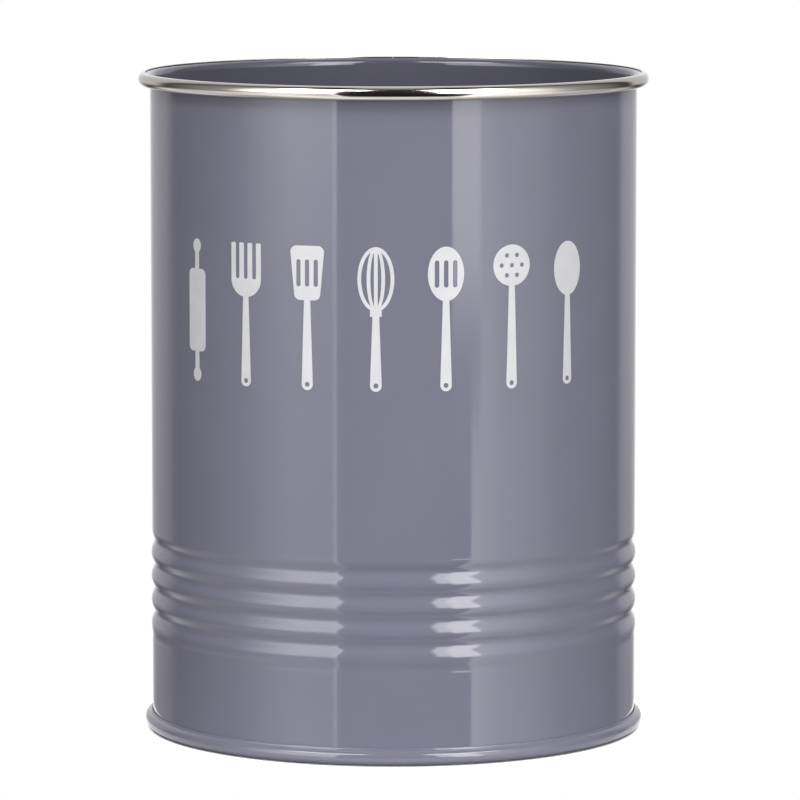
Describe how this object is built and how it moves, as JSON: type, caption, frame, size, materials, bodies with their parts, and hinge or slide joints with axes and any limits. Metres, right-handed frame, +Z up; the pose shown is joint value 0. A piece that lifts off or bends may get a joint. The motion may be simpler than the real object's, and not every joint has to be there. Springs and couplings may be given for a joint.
{
  "type": "utensil crock",
  "caption": "Round sheet-steel crock for kitchen tools: painted ribbed body, seamed base, bright rolled rim trim and a printed row of kitchen tool shapes on the front.",
  "frame": {"origin": "middle of the foot, on the surface that the crock stands on", "axes": "+Z up along the crock's axis, -Y is the printed front, +X is to the right seen from the front"},
  "size_m": [0.1258, 0.1258, 0.1626],
  "materials": {
    "enamel": "smooth high-gloss stoved paint, grey with a violet cast",
    "bright_steel": "bright polished stainless steel",
    "print_ink": "thin screen-printed white ink, satin"
  },
  "bodies": {
    "root": {"body_shell": "enamel", "base_end": "enamel", "rim_trim": "bright_steel", "front_print": "print_ink"}
  },
  "joints": []
}
